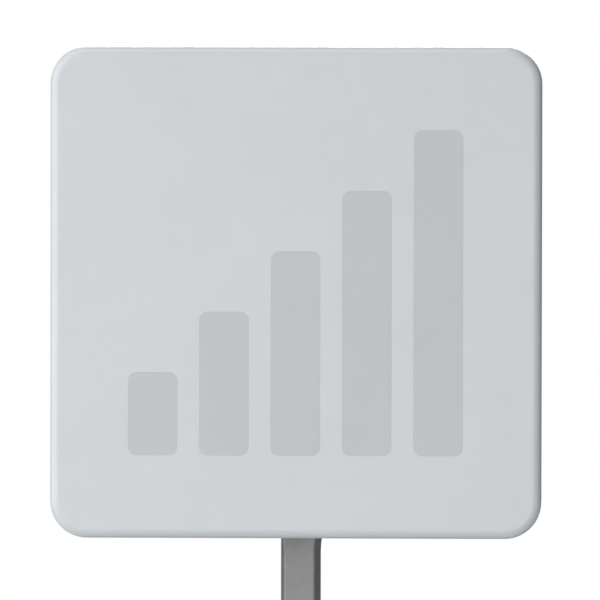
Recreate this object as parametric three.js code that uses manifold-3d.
// Square flat-panel antenna for 1.7 to 2.7 GHz on a tilting mast arm, with its U-bolt mast clamp.
// Millimetres, +Z up. The panel faces -Y, and +X is to the right of somebody who looks at its face.
// The origin is on the axis of the largest mast the clamp takes, halfway up the clamp.
import * as THREE from "three";
import { mergeVertices } from "three/addons/utils/BufferGeometryUtils.js";
import Module from "manifold-3d";

const wasm = await Module();
wasm.setup();

// ---- Driving dimensions ---------------------------------------------------------------------
const GAP = 0.3; // left between pieces that touch
const OVERLAP = 1; // how far shapes that are joined run into each other
const FAR = 100; // takes a cutter right through its piece
const M6 = { radius: 3, hole: 3.3, head: 4, nut: 5, acrossFlats: 10, proud: 3 };
const NUT_FLANGE = { radius: 6.4, thickness: 1.3 };
const M3 = { radius: 1.45, hole: 1.75, headRadius: 2.9, headHeight: 1.8 };

const PANEL = { side: 260, depth: 32, corner: 19.5, edge: 4.8, bottom: 75 };
const SHELL = { wall: 2.2, skirt: 24 };
const COVER = { front: 25.4, rim: 3, plate: 2.6, backEdge: 2.4, spacer: 6 };
const TONGUE = { inset: 2.6, width: 1.5, front: 21 };
const GASKET = { inset: 0.3, width: 1.6, front: 24.2, thickness: 1 };
const REFLECTOR = { side: 218, corner: 12, sheet: 1.5, front: 22, rimFront: 14, probeHole: 2.4 };
const BOARD = { side: 200, corner: 6, thickness: 1.6, front: 24, spacerHole: 6.5 };
const PATCH_PITCH = 124;
const DRIVEN = { side: 52, front: 14.5, sheet: 1, probeOffset: 14, probeRadius: 1, probeEnd: 26.2 };
const PARASITE = { side: 44, front: 7, sheet: 1 };
const PATCH_CORNER = 3;
const POST = { shaft: 2.8, collar: 5, head: 4.4, headLength: 1.5, clearance: 3.2 };
const BARB = { radius: 3.6, tip: 2, length: 2 };
const BOSS = { radius: 4, cornerAt: 112, sideAt: 118, pilotFront: 17 };

const BASE = { width: 84, height: 90, corner: 8, sheet: 3, boltX: 30, boltZ: 32 };
const EAR = { sheet: 3, lobe: 13, slotRadius: 34, slotRim: 10, below: 24, above: 52, clearance: 0.45 };
const TILT = { down: 15, up: 20, slack: 3 }; // degrees that the panel tilts, and spare slot at each end
const PIVOT_TO_BASE = 46;

const MAST_RADIUS = 25;
const SADDLE = { halfAngle: 60, thickness: 4, length: 50, faceEnd: 22, seatHalf: 13 };
const TEETH = { count: 6, height: 1.2 };
const WING = { end: 38, thickness: 5, slotSpare: 2.4, slotShift: 0.8 };
const ARM = { sheet: 2, depth: 25, webHalf: 8.4, rearHalf: 10.8, headRight: 13.3 };
const ARM_END = { bottom: -40, aboveLock: 11 };
const SLEEVE_RADIUS = 5;
const FLARE = { start: PANEL.bottom - 12.7, length: 30, steps: 10, webRadius: 80, rearRadius: 53 };
const BAR = { sheet: 3, length: 76, height: 22, lip: 6 };
const WASHER = { radius: 6, thickness: 1.6 };
const U_TIP = 18; // rod beyond the clamp bar with the clamp wide open

const JACK = { x: 40, z: -104, thread: 4.7, hole: 5, bore: 3.3, stickOut: 14, chamfer: 0.6 };
const JACK_FLANGE = { radius: 6.2, thickness: 1.6 };
const JACK_SEAL = { width: 1.6, start: 0.2, thickness: 1.2 };
const JACK_NUT = { flats: 12, start: 1.7, thickness: 2.8 };
const CONTACT = { radius: 0.85, bore: 1.2, recess: 1.2 };
const LEAD = { y: 26.55, radius: 0.6, top: -86 };
const BREATHER = { x: 95, z: -108, stem: 3, stemLength: 2.4, head: 5.5, height: 2.2, chamfer: 0.8 };

// ---- Places worked out from them ------------------------------------------------------------
const radians = THREE.MathUtils.degToRad;
const contactY = -MAST_RADIUS / Math.sin(radians(SADDLE.halfAngle));
const grooveY = contactY - GAP;
const armRearY = grooveY - SADDLE.thickness - GAP;
const armFrontY = armRearY - ARM.depth;
const pivotY = armFrontY + ARM.depth / 2;
const baseRearY = pivotY - PIVOT_TO_BASE;
const coverRearY = baseRearY - BASE.sheet - GAP;
const panelFrontY = coverRearY - PANEL.depth;
const panelZ = PANEL.bottom + PANEL.side / 2;
const pivotZ = panelZ - EAR.slotRadius / 2;
const lockZ = pivotZ + EAR.slotRadius;
const legX = MAST_RADIUS + 0.4 + M6.radius; // a rod beside the mast, with a little room to slide
const barRearY = armFrontY - GAP;
const barFrontY = barRearY - BAR.sheet;
const earInnerLeft = -ARM.rearHalf - EAR.clearance;
const earInnerRight = ARM.headRight + EAR.clearance;

// ---- Materials ------------------------------------------------------------------------------
function finish(color, roughness, metalness) {
  return new THREE.MeshStandardMaterial({ color, roughness, metalness });
}
const shellWhite = finish(0xd3d7d9, 0.45, 0);
const galvanised = finish(0x8d8e8e, 0.5, 0.8);
const zincPlated = finish(0xb4b7ba, 0.32, 1);
const aluminium = finish(0xc9cccf, 0.35, 1);
const castAluminium = finish(0xa4a7aa, 0.55, 0.9);
const nickel = finish(0xcfcdc6, 0.25, 1);
const laminate = finish(0x2f6b45, 0.5, 0);
const nylon = finish(0xeeeae0, 0.5, 0);
const ptfe = finish(0xf4f4f0, 0.4, 0);
const rubber = finish(0x26282a, 0.85, 0);
const copper = finish(0xb97a50, 0.35, 1);

// ---- Shapes ---------------------------------------------------------------------------------
function roundedRectangle(width, height, corner) {
  const [x, y] = [width / 2 - corner, height / 2 - corner];
  const shape = new THREE.Shape();
  shape.absarc(x, -y, corner, -Math.PI / 2, 0);
  shape.absarc(x, y, corner, 0, Math.PI / 2);
  shape.absarc(-x, y, corner, Math.PI / 2, Math.PI);
  shape.absarc(-x, -y, corner, Math.PI, 1.5 * Math.PI);
  return shape;
}

function polygon(points) {
  return new THREE.Shape(points.map(([x, y]) => new THREE.Vector2(x, y)));
}

function hexagon(acrossFlats) {
  const radius = acrossFlats / Math.sqrt(3);
  const corner = (k) => [radius * Math.cos((k * Math.PI) / 3), radius * Math.sin((k * Math.PI) / 3)];
  return polygon([0, 1, 2, 3, 4, 5].map(corner));
}

function roundHole(x, y, radius) {
  return new THREE.Path().absarc(x, y, radius, 0, 2 * Math.PI);
}

// A slot along an arc about the origin, between two angles measured from +Y towards -X.
function arcSlot(radius, halfWidth, from, to) {
  const [a, b] = [Math.PI / 2 + from, Math.PI / 2 + to];
  const centre = (angle) => [radius * Math.cos(angle), radius * Math.sin(angle)];
  const slot = new THREE.Path();
  slot.absarc(0, 0, radius + halfWidth, a, b);
  slot.absarc(...centre(b), halfWidth, b, b + Math.PI);
  slot.absarc(0, 0, radius - halfWidth, b, a, true);
  slot.absarc(...centre(a), halfWidth, a + Math.PI, a + 2 * Math.PI);
  return slot;
}

// An outline in X and Z made into a plate from frontY back along +Y.
function plateXZ(shape, frontY, thickness, curveSegments = 6) {
  const settings = { depth: thickness, bevelEnabled: false, curveSegments };
  const geometry = new THREE.ExtrudeGeometry(shape, settings);
  return geometry.rotateX(Math.PI / 2).translate(0, frontY + thickness, 0);
}

// An outline in Y and Z made into a plate from leftX along +X.
function plateYZ(shape, leftX, thickness, curveSegments = 6) {
  const settings = { depth: thickness, bevelEnabled: false, curveSegments };
  const geometry = new THREE.ExtrudeGeometry(shape, settings);
  return geometry.rotateY(Math.PI / 2).rotateX(Math.PI / 2).translate(leftX, 0, 0);
}

// A closed outline in X and Y made into a bar from lowZ up.
function barXY(shape, lowZ, height, steps = 1) {
  const settings = { depth: height, bevelEnabled: false, steps };
  return new THREE.ExtrudeGeometry(shape, settings).translate(0, 0, lowZ);
}

// A turned piece about the Y axis. Its profile is pairs of radius and y, from the front back.
function turned(profile, segments = 8) {
  const points = profile.map(([radius, y]) => new THREE.Vector2(radius, y));
  return new THREE.LatheGeometry(points, segments);
}

function rodX(y, z, radius, fromX, toX, segments = 16) {
  const geometry = new THREE.CylinderGeometry(radius, radius, toX - fromX, segments);
  return geometry.rotateZ(Math.PI / 2).translate((fromX + toX) / 2, y, z);
}

function rodY(x, z, radius, fromY, toY, segments = 16) {
  const geometry = new THREE.CylinderGeometry(radius, radius, toY - fromY, segments);
  return geometry.translate(x, (fromY + toY) / 2, z);
}

// ---- Joining and cutting --------------------------------------------------------------------
function solid(geometry) {
  const bare = geometry.clone();
  bare.deleteAttribute("normal");
  bare.deleteAttribute("uv");
  const merged = mergeVertices(bare, 1e-4);
  return new wasm.Manifold(
    new wasm.Mesh({
      numProp: 3,
      vertProperties: new Float32Array(merged.attributes.position.array),
      triVerts: new Uint32Array(merged.index.array),
    })
  );
}

function geometryOf(manifold) {
  const mesh = manifold.getMesh();
  const geometry = new THREE.BufferGeometry();
  geometry.setAttribute("position", new THREE.BufferAttribute(mesh.vertProperties, 3));
  geometry.setIndex(new THREE.BufferAttribute(mesh.triVerts, 1));
  geometry.computeVertexNormals();
  return geometry;
}

// The first list joined, less everything in the second.
function carve(joined, cut = []) {
  const body = joined.map(solid).reduce((all, next) => all.add(next));
  return geometryOf(cut.map(solid).reduce((all, next) => all.subtract(next), body));
}

// ---- The assembly ---------------------------------------------------------------------------
const antenna = new THREE.Group();
const panel = new THREE.Group(); // everything in it is placed from the centre of the panel's face
panel.position.set(0, panelFrontY, panelZ);
const arm = new THREE.Group();
antenna.add(panel, arm);

function add(group, name, geometry, material, x = 0, y = 0, z = 0) {
  const mesh = new THREE.Mesh(geometry, material);
  mesh.name = name;
  mesh.position.set(x, y, z);
  group.add(mesh);
}

const quarters = [
  ["upper_left", -1, 1],
  ["upper_right", 1, 1],
  ["lower_left", -1, -1],
  ["lower_right", 1, -1],
];
const sides = [
  ["left", -1],
  ["right", 1],
];

const bossPlaces = [
  ...quarters.map(([, i, k]) => [i * BOSS.cornerAt, k * BOSS.cornerAt]),
  ...[-1, 1].flatMap((k) => [
    [k * BOSS.sideAt, 0],
    [0, k * BOSS.sideAt],
  ]),
];
const boltPlaces = quarters.map(([, i, k]) => [i * BASE.boltX, k * BASE.boltZ]);
const patchPlaces = quarters.map(([, i, k]) => [(i * PATCH_PITCH) / 2, (k * PATCH_PITCH) / 2]);
const coverInside = PANEL.depth - COVER.plate;

// A rounded square with its front edge rounded, from frontY to rearY.
function softSquare(inset, frontY, rearY, edge) {
  const geometry = new THREE.ExtrudeGeometry(insetSquare(inset), {
    depth: rearY - frontY,
    bevelThickness: edge,
    bevelSize: edge,
    bevelOffset: -edge,
    bevelSegments: 3,
    curveSegments: 4,
  });
  return geometry.rotateX(Math.PI / 2).translate(0, rearY + edge, 0);
}

// The case's outline, drawn in by inset all round.
function insetSquare(inset) {
  const side = PANEL.side - 2 * inset;
  return roundedRectangle(side, side, PANEL.corner - inset);
}

function squareRing(inset, width, frontY, thickness) {
  const outer = insetSquare(inset);
  outer.holes.push(insetSquare(inset + width));
  return plateXZ(outer, frontY, thickness, 4);
}

// Everything between two depths, wider and taller than the panel.
function slab(frontY, rearY) {
  const box = new THREE.BoxGeometry(2 * PANEL.side, rearY - frontY, 2 * PANEL.side);
  return box.translate(0, (frontY + rearY) / 2, 0);
}

// Front shell: a moulded tray whose screw bosses reach back to the cover.
function radome() {
  const hollow = softSquare(SHELL.wall, SHELL.wall, PANEL.depth, PANEL.edge - SHELL.wall);
  const shell = carve([softSquare(0, 0, SHELL.skirt, PANEL.edge)], [hollow, slab(SHELL.skirt, FAR)]);
  const bossFront = SHELL.wall - OVERLAP;
  const bosses = bossPlaces.map(([x, z]) => rodY(x, z, BOSS.radius, bossFront, coverInside - GAP, 10));
  const pilots = bossPlaces.map(([x, z]) => rodY(x, z, M3.hole, BOSS.pilotFront, FAR, 8));
  return carve([shell, ...bosses], pilots);
}

// Back cover: a shallow tray with a tongue that locates inside the front shell's skirt.
function rearCover() {
  const tray = softSquare(0, 0, COVER.plate, COVER.backEdge).rotateX(Math.PI).translate(0, PANEL.depth, 0);
  const hollow = plateXZ(insetSquare(COVER.rim), 0, coverInside, 4);
  const shell = carve([tray], [slab(-FAR, COVER.front), hollow]);
  const rim = squareRing(0, COVER.rim, COVER.front, coverInside - COVER.front - 0.2);
  const tongueDepth = coverInside - TONGUE.front + OVERLAP / 2;
  const tongue = squareRing(TONGUE.inset, TONGUE.width, TONGUE.front, tongueDepth);
  const spacerFront = REFLECTOR.front + REFLECTOR.sheet + GAP;
  const spacerRear = coverInside + OVERLAP;
  const spacers = boltPlaces.map(([x, z]) => rodY(x, z, COVER.spacer, spacerFront, spacerRear, 10));
  const seatFront = PANEL.depth - M3.headHeight - GAP;
  const cuts = [
    ...boltPlaces.map(([x, z]) => rodY(x, z, M6.hole, 0, FAR, 10)),
    ...bossPlaces.map(([x, z]) => rodY(x, z, M3.hole, 0, FAR, 8)),
    ...bossPlaces.map(([x, z]) => rodY(x, z, M3.headRadius + GAP, seatFront, FAR, 8)),
    ...sides.map(([, i]) => rodY(i * JACK.x, JACK.z, JACK.hole, 0, FAR, 16)),
    rodY(BREATHER.x, BREATHER.z, BREATHER.stem + GAP, 0, FAR, 10),
  ];
  return carve([shell, rim, tongue, ...spacers], cuts);
}

// Reflector: an aluminium sheet with its edges folded forwards.
function reflector() {
  const { side, corner, sheet, front, rimFront } = REFLECTOR;
  const outline = roundedRectangle(side, side, corner);
  const inside = roundedRectangle(side - 2 * sheet, side - 2 * sheet, corner - sheet);
  const probes = patchPlaces.flatMap(([x, z]) => [
    rodY(x + DRIVEN.probeOffset, z, REFLECTOR.probeHole, 0, FAR, 8),
    rodY(x, z + DRIVEN.probeOffset, REFLECTOR.probeHole, 0, FAR, 8),
  ]);
  return carve(
    [plateXZ(outline, rimFront, front + sheet - rimFront, 4)],
    [
      plateXZ(inside, 0, front, 4),
      ...probes,
      ...patchPlaces.map(([x, z]) => rodY(x, z, POST.clearance, 0, FAR, 8)),
      ...boltPlaces.map(([x, z]) => rodY(x, z, M6.hole, 0, FAR, 10)),
    ]
  );
}

// Printed feed network behind the reflector.
function feedBoard() {
  const shape = roundedRectangle(BOARD.side, BOARD.side, BOARD.corner);
  shape.holes.push(
    ...patchPlaces.flatMap(([x, z]) => [
      roundHole(x, z, POST.clearance),
      roundHole(x + DRIVEN.probeOffset, z, DRIVEN.probeRadius + GAP),
      roundHole(x, z + DRIVEN.probeOffset, DRIVEN.probeRadius + GAP),
    ]),
    ...boltPlaces.map(([x, z]) => roundHole(x, z, BOARD.spacerHole))
  );
  return plateXZ(shape, BOARD.front, BOARD.thickness, 4);
}

// Driven patch: a plate with one feed probe for each polarisation.
function drivenPatch() {
  const { side, front, sheet, probeOffset, probeRadius, probeEnd } = DRIVEN;
  const plate = plateXZ(roundedRectangle(side, side, PATCH_CORNER), front, sheet, 3);
  const probeFront = front + sheet / 2;
  return carve(
    [
      plate,
      rodY(probeOffset, 0, probeRadius, probeFront, probeEnd, 8),
      rodY(0, probeOffset, probeRadius, probeFront, probeEnd, 8),
    ],
    [rodY(0, 0, POST.clearance, 0, FAR, 8)]
  );
}

function parasiticPatch() {
  const shape = roundedRectangle(PARASITE.side, PARASITE.side, PATCH_CORNER);
  shape.holes.push(roundHole(0, 0, POST.clearance));
  return plateXZ(shape, PARASITE.front, PARASITE.sheet, 4);
}

// Stepped nylon post that spaces both patches from the reflector and snaps in behind the board.
function patchPost() {
  const parasiteBack = PARASITE.front + PARASITE.sheet;
  const drivenBack = DRIVEN.front + DRIVEN.sheet;
  const boardBack = BOARD.front + BOARD.thickness;
  const headFront = PARASITE.front - GAP - POST.headLength;
  return turned([
    [0, headFront],
    [POST.head, headFront],
    [POST.head, PARASITE.front - GAP],
    [POST.shaft, PARASITE.front - GAP],
    [POST.shaft, parasiteBack + GAP],
    [POST.collar, parasiteBack + GAP],
    [POST.collar, DRIVEN.front - GAP],
    [POST.shaft, DRIVEN.front - GAP],
    [POST.shaft, drivenBack + GAP],
    [POST.collar, drivenBack + GAP],
    [POST.collar, REFLECTOR.front - GAP],
    [POST.shaft, REFLECTOR.front - GAP],
    [POST.shaft, boardBack + GAP],
    [BARB.radius, boardBack + GAP],
    [BARB.tip, boardBack + BARB.length],
    [0, boardBack + BARB.length],
  ]);
}

// Countersunk case screw, driven in from behind.
function caseScrew() {
  const headFront = PANEL.depth - M3.headHeight;
  return turned([
    [0, BOSS.pilotFront + 1],
    [M3.radius - 0.5, BOSS.pilotFront + 1],
    [M3.radius, BOSS.pilotFront + 2.5],
    [M3.radius, headFront],
    [M3.headRadius, headFront],
    [M3.headRadius, PANEL.depth - 0.4],
    [M3.headRadius - 0.6, PANEL.depth],
    [0, PANEL.depth],
  ]);
}

// Hexagon-head bolt through the reflector, the cover and the tilt bracket.
function bracketBolt() {
  const headRear = REFLECTOR.front - GAP;
  const tip = PANEL.depth + 2 * GAP + BASE.sheet + M6.nut + M6.proud;
  return carve([
    plateXZ(hexagon(M6.acrossFlats), headRear - M6.head, M6.head),
    rodY(0, 0, M6.radius, headRear - OVERLAP, tip, 10),
  ]);
}

function hexNut(acrossFlats, thickness, hole) {
  const shape = hexagon(acrossFlats);
  shape.holes.push(roundHole(0, 0, hole));
  return plateXZ(shape, 0, thickness, 5);
}

// Flange nut: a hexagon on a round collar, with the collar towards -Y.
function flangeNut() {
  const collar = rodY(0, 0, NUT_FLANGE.radius, 0, NUT_FLANGE.thickness, 12);
  const hex = plateXZ(hexagon(M6.acrossFlats), OVERLAP, M6.nut - OVERLAP);
  return carve([collar, hex], [rodY(0, 0, M6.hole, -FAR, FAR, 10)]);
}

add(panel, "radome", radome(), shellWhite);
add(panel, "rear_cover", rearCover(), shellWhite);
const gasket = squareRing(GASKET.inset, GASKET.width, GASKET.front, GASKET.thickness);
add(panel, "perimeter_gasket", gasket, rubber);
add(panel, "reflector", reflector(), aluminium);
add(panel, "feed_board", feedBoard(), laminate);
quarters.forEach(([name], n) => {
  const [x, z] = patchPlaces[n];
  add(panel, `driven_patch_${name}`, drivenPatch(), aluminium, x, 0, z);
  add(panel, `parasitic_patch_${name}`, parasiticPatch(), aluminium, x, 0, z);
  add(panel, `patch_post_${name}`, patchPost(), nylon, x, 0, z);
});
bossPlaces.forEach(([x, z], n) => add(panel, `case_screw_${n + 1}`, caseScrew(), zincPlated, x, 0, z));
quarters.forEach(([name], n) => {
  const [x, z] = boltPlaces[n];
  add(panel, `bracket_bolt_${name}`, bracketBolt(), zincPlated, x, 0, z);
  add(panel, `bracket_nut_${name}`, flangeNut(), zincPlated, x, PANEL.depth + 2 * GAP + BASE.sheet + GAP, z);
});

// ---- Aerial sockets -------------------------------------------------------------------------
const jackMouth = PANEL.depth + JACK.stickOut;

// Socket body: flange inside the cover, threaded barrel outside it, bored through for the insulator.
function jackBody() {
  const flangeRear = coverInside - GAP;
  const flangeFront = flangeRear - JACK_FLANGE.thickness;
  const outer = turned(
    [
      [0, flangeFront],
      [JACK_FLANGE.radius, flangeFront],
      [JACK_FLANGE.radius, flangeRear],
      [JACK.thread, flangeRear],
      [JACK.thread, jackMouth - JACK.chamfer],
      [JACK.thread - JACK.chamfer, jackMouth],
      [0, jackMouth],
    ],
    16
  );
  return carve([outer], [rodY(0, 0, JACK.bore, 0, FAR, 12)]);
}

function jackInsulator() {
  const front = coverInside - GAP - JACK_FLANGE.thickness;
  const sleeve = rodY(0, 0, JACK.bore - GAP, front, jackMouth - JACK.chamfer, 12);
  return carve([sleeve], [rodY(0, 0, CONTACT.bore, 0, FAR, 8)]);
}

function jackSeal() {
  const inner = JACK.thread + GAP;
  const ring = new THREE.Shape().absarc(0, 0, inner + JACK_SEAL.width, 0, 2 * Math.PI);
  ring.holes.push(roundHole(0, 0, inner));
  return plateXZ(ring, PANEL.depth + JACK_SEAL.start, JACK_SEAL.thickness, 6);
}

// Centre contact of a socket, with the stiff lead soldered to it that runs up over the feed board.
function feedLead() {
  const pin = rodY(0, JACK.z, CONTACT.radius, LEAD.y - LEAD.radius, jackMouth - CONTACT.recess, 8);
  const lead = new THREE.CylinderGeometry(LEAD.radius, LEAD.radius, LEAD.top - JACK.z, 8);
  return carve([pin, lead.rotateX(Math.PI / 2).translate(0, LEAD.y, (LEAD.top + JACK.z) / 2)]);
}

sides.forEach(([name, i]) => {
  add(panel, `jack_body_${name}`, jackBody(), nickel, i * JACK.x, 0, JACK.z);
  add(panel, `jack_insulator_${name}`, jackInsulator(), ptfe, i * JACK.x, 0, JACK.z);
  add(panel, `jack_seal_${name}`, jackSeal(), rubber, i * JACK.x, 0, JACK.z);
  const nut = hexNut(JACK_NUT.flats, JACK_NUT.thickness, JACK.thread + GAP);
  add(panel, `jack_nut_${name}`, nut, nickel, i * JACK.x, PANEL.depth + JACK_NUT.start, JACK.z);
  add(panel, `feed_lead_${name}`, feedLead(), copper, i * JACK.x, 0, 0);
});

const capFront = PANEL.depth + GAP;
const capRear = capFront + BREATHER.height;
const breather = turned([
  [0, coverInside - BREATHER.stemLength],
  [BREATHER.stem, coverInside - BREATHER.stemLength],
  [BREATHER.stem, capFront],
  [BREATHER.head, capFront],
  [BREATHER.head, capRear - BREATHER.chamfer],
  [BREATHER.head - BREATHER.chamfer, capRear],
  [0, capRear],
]);
add(panel, "breather_plug", breather, rubber, BREATHER.x, 0, BREATHER.z);

// ---- Tilt bracket ---------------------------------------------------------------------------
// One ear in Y and Z about the pivot: a lobe at the pivot and a slotted sector above it.
function earOutline() {
  const root = -PIVOT_TO_BASE - OVERLAP;
  const slotFrom = -radians(TILT.down + TILT.slack);
  const slotTo = radians(TILT.up + TILT.slack);
  const rim = EAR.slotRadius + EAR.slotRim;
  const rearAngle = Math.PI / 2 + slotFrom;
  const rearLobe = [EAR.slotRadius * Math.cos(rearAngle), EAR.slotRadius * Math.sin(rearAngle)];
  const shape = new THREE.Shape();
  shape.moveTo(root, -EAR.below);
  shape.lineTo(-4, -EAR.lobe + 0.5);
  shape.absarc(0, 0, EAR.lobe, radians(-100), radians(-14));
  shape.absarc(...rearLobe, EAR.slotRim, radians(-14), rearAngle);
  shape.absarc(0, 0, rim, rearAngle, Math.PI / 2 + slotTo);
  shape.lineTo(root, EAR.above);
  shape.holes.push(roundHole(0, 0, M6.hole), arcSlot(EAR.slotRadius, M6.hole, slotFrom, slotTo));
  return shape;
}

function tiltBracket() {
  const base = plateXZ(roundedRectangle(BASE.width, BASE.height, BASE.corner), 0, BASE.sheet, 4);
  const shift = [0, pivotY - (baseRearY - BASE.sheet), pivotZ - panelZ];
  const ears = [earInnerLeft - EAR.sheet, earInnerRight].map((x) =>
    plateYZ(earOutline(), x, EAR.sheet, 4).translate(...shift)
  );
  return carve([base, ...ears], boltPlaces.map(([x, z]) => rodY(x, z, M6.hole, -FAR, FAR, 10)));
}
add(panel, "tilt_bracket", tiltBracket(), galvanised, 0, PANEL.depth + GAP, 0);

// ---- Mast arm -------------------------------------------------------------------------------
// How far an edge has bowed outwards at height z, along an arc that starts at the flare's foot.
const bow = (z, radius, most) => Math.min(most, Math.max(0, z - FLARE.start) ** 2 / (2 * radius));

// Pressed channel, open to the rear, with drafted flanges that straighten into a parallel-sided head.
function mastArm() {
  const { sheet, depth, webHalf, rearHalf, headRight } = ARM;
  const draft = (rearHalf - webHalf) / depth;
  const inner = (y) => webHalf + draft * (y - armFrontY) - sheet;
  const section = polygon([
    [-webHalf, armFrontY],
    [webHalf, armFrontY],
    [rearHalf, armRearY],
    [rearHalf - sheet, armRearY],
    [inner(armFrontY + sheet), armFrontY + sheet],
    [-inner(armFrontY + sheet), armFrontY + sheet],
    [-rearHalf + sheet, armRearY],
    [-rearHalf, armRearY],
  ]);
  const heights = [ARM_END.bottom];
  for (let k = 0; k <= FLARE.steps; k++) heights.push(FLARE.start + (k / FLARE.steps) * FLARE.length);
  heights.push(lockZ + ARM_END.aboveLock);
  const channel = barXY(section, 0, heights.length - 1, heights.length - 1);
  const points = channel.attributes.position;
  for (let n = 0; n < points.count; n++) {
    const [x, y, z] = [points.getX(n), points.getY(n), heights[Math.round(points.getZ(n))]];
    const forward = (armRearY - y) / depth; // 1 at the web, 0 at the flange's free edge
    const most = x > 0 ? headRight - rearHalf : 0;
    const web = bow(z, FLARE.webRadius, most + rearHalf - webHalf);
    const rear = bow(z, FLARE.rearRadius, most);
    points.setX(n, x + Math.sign(x) * (forward * web + (1 - forward) * rear));
    points.setZ(n, z);
  }
  return carve(
    [channel],
    [pivotZ, lockZ].map((z) => rodX(pivotY, z, M6.hole, -FAR, FAR, 14))
  );
}
add(arm, "mast_arm", mastArm(), galvanised);

// Sleeve between the arm's flanges, so that the bolt can be pulled up tight.
function spacerSleeve(z) {
  const [from, to] = [-ARM.rearHalf + ARM.sheet + GAP, ARM.headRight - ARM.sheet - GAP];
  return carve([rodX(pivotY, z, SLEEVE_RADIUS, from, to, 14)], [rodX(pivotY, z, M6.hole, -FAR, FAR, 12)]);
}

// Hexagon bolt across the head, with its head on the left ear.
function headBolt(z) {
  const seat = earInnerLeft - EAR.sheet - GAP;
  const tip = earInnerRight + EAR.sheet + GAP + M6.nut + M6.proud;
  const head = plateYZ(hexagon(M6.acrossFlats), seat - M6.head, M6.head).translate(0, pivotY, z);
  return carve([head, rodX(pivotY, z, M6.radius, seat - OVERLAP, tip, 12)]);
}

function headNut(z) {
  const nut = plateYZ(hexagon(M6.acrossFlats), OVERLAP, M6.nut - OVERLAP);
  const collar = rodX(0, 0, NUT_FLANGE.radius, 0, NUT_FLANGE.thickness, 14);
  const body = carve([nut, collar], [rodX(0, 0, M6.hole, -FAR, FAR, 12)]);
  return body.translate(earInnerRight + EAR.sheet + GAP, pivotY, z);
}

[
  ["pivot", pivotZ],
  ["lock", lockZ],
].forEach(([name, z]) => {
  add(arm, `${name}_sleeve`, spacerSleeve(z), zincPlated);
  add(arm, `${name}_bolt`, headBolt(z), zincPlated);
  add(arm, `${name}_nut`, headNut(z), zincPlated);
});

// ---- Mast clamp -----------------------------------------------------------------------------
// Cast saddle: a toothed groove for the mast, a flat seat on the arm, and a slotted wing each side.
function mastSaddle() {
  const { halfAngle, thickness, length, faceEnd, seatHalf } = SADDLE;
  const slope = 1 / Math.tan(radians(halfAngle));
  const faceY = (x) => grooveY + x * slope;
  const wingRear = faceY(faceEnd);
  const wingFront = wingRear - WING.thickness;
  const pitch = faceEnd / TEETH.count;
  const face = [];
  for (let n = 1; n <= TEETH.count; n++) {
    face.push([(n - 0.5) * pitch, faceY((n - 0.5) * pitch) - TEETH.height]);
    face.push([n * pitch, faceY(n * pitch)]);
  }
  const half = [...face, [WING.end, wingRear], [WING.end, wingFront], [faceEnd, wingFront]];
  half.push([seatHalf, grooveY - thickness], [0, grooveY - thickness]);
  const mirrored = half.slice(0, -1).reverse().map(([x, y]) => [-x, y]);
  const outline = polygon([[0, grooveY], ...half, ...mirrored].reverse());
  const slot = new THREE.BoxGeometry(2 * M6.hole + WING.slotSpare, FAR, 2 * M6.hole);
  const slots = sides.map(([, i]) => slot.clone().translate(i * (legX - WING.slotShift), wingFront, 0));
  return carve([barXY(outline, -length / 2, length)], slots);
}
add(arm, "mast_saddle", mastSaddle(), castAluminium);

// Pressed bar across the front of the arm, lipped forwards along its top and bottom edges.
function clampBar() {
  const { sheet, length, height, lip } = BAR;
  const half = height / 2;
  const section = polygon([
    [barRearY, -half],
    [barRearY, half],
    [barFrontY - lip, half],
    [barFrontY - lip, half - sheet],
    [barFrontY, half - sheet],
    [barFrontY, sheet - half],
    [barFrontY - lip, sheet - half],
    [barFrontY - lip, -half],
  ]);
  const bar = plateYZ(section, -length / 2, length);
  return carve([bar], sides.map(([, i]) => rodY(i * legX, 0, M6.hole, -FAR, FAR, 12)));
}
add(arm, "clamp_bar", clampBar(), galvanised);

// The rod's line: up one leg, round the mast, and back along the other leg.
class UBoltLine extends THREE.Curve {
  constructor(tipY) {
    super();
    this.leg = -tipY;
    this.total = 2 * this.leg + Math.PI * legX;
  }
  getPoint(t, target = new THREE.Vector3()) {
    const along = t * this.total;
    const past = along - this.leg;
    if (past < 0) return target.set(-legX, past, 0);
    if (past > Math.PI * legX) return target.set(legX, Math.PI * legX - past, 0);
    const angle = past / legX;
    return target.set(-legX * Math.cos(angle), legX * Math.sin(angle), 0);
  }
}

function uBolt() {
  const section = new THREE.Shape().absarc(0, 0, M6.radius, 0, 2 * Math.PI);
  const extrudePath = new UBoltLine(barFrontY - U_TIP);
  const settings = { extrudePath, steps: 32, curveSegments: 5, bevelEnabled: false };
  return new THREE.ExtrudeGeometry(section, settings);
}
add(arm, "u_bolt", uBolt(), zincPlated);

function washer() {
  const ring = new THREE.Shape().absarc(0, 0, WASHER.radius, 0, 2 * Math.PI);
  ring.holes.push(roundHole(0, 0, M6.hole));
  return plateXZ(ring, 0, WASHER.thickness, 6);
}
sides.forEach(([name, i]) => {
  const washerFrontY = barFrontY - GAP - WASHER.thickness;
  add(arm, `clamp_washer_${name}`, washer(), zincPlated, i * legX, washerFrontY, 0);
  const nut = hexNut(M6.acrossFlats, M6.nut, M6.hole);
  add(arm, `clamp_nut_${name}`, nut, zincPlated, i * legX, washerFrontY - GAP - M6.nut, 0);
});

export default antenna;
